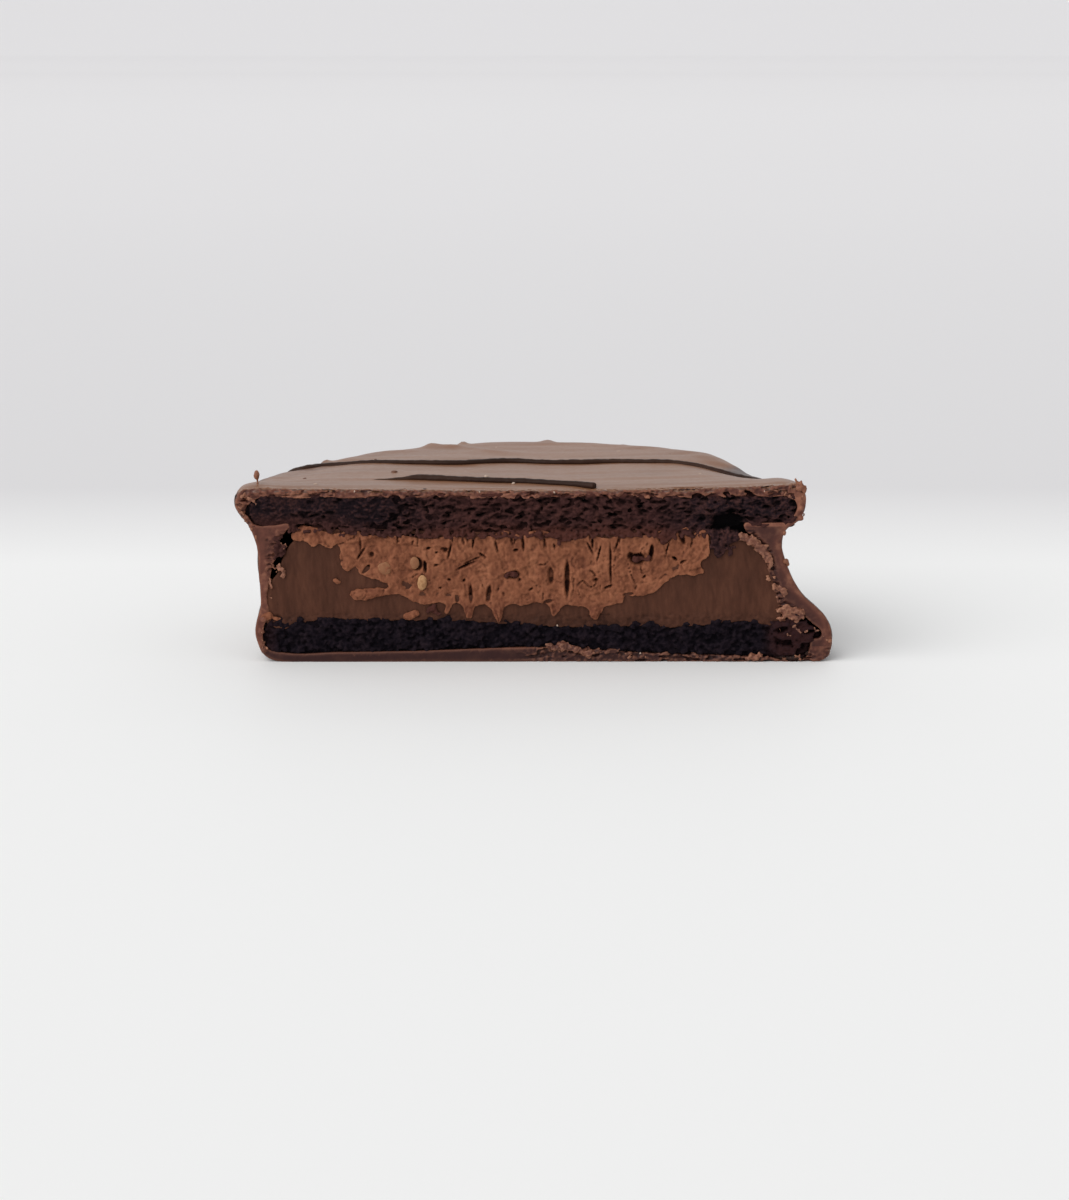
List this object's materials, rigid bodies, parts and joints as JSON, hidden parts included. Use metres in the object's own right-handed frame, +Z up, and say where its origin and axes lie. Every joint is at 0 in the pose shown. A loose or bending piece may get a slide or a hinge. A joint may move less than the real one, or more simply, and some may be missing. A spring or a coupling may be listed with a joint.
{
  "type": "alfajor cookie half",
  "caption": "Half of a chocolate-coated alfajor, cut straight through: dark cocoa biscuits with a two-tone chocolate filling between them and drizzle on top.",
  "frame": {"origin": "middle of the footprint's box, at the height of the sole that the half rests on", "axes": "+Z up, cut face looking along -Y, straight cut edge along X"},
  "size_m": [0.0734, 0.0354, 0.0229],
  "materials": {
    "milk_chocolate": "satin tempered chocolate, rough where it broke",
    "cocoa_biscuit": "matte open crumb",
    "dark_cocoa_biscuit": "matte open crumb",
    "ganache": "smooth knife-cut ganache",
    "chocolate_cream": "torn cream with pits and nut pieces",
    "dark_chocolate": "glossy set drizzle"
  },
  "bodies": {
    "root": {"chocolate_coating": "milk_chocolate", "top_biscuit": "cocoa_biscuit", "bottom_biscuit": "dark_cocoa_biscuit", "dark_filling": "ganache", "light_filling": "chocolate_cream", "drizzle_long": "dark_chocolate", "drizzle_short": "dark_chocolate"}
  },
  "joints": []
}
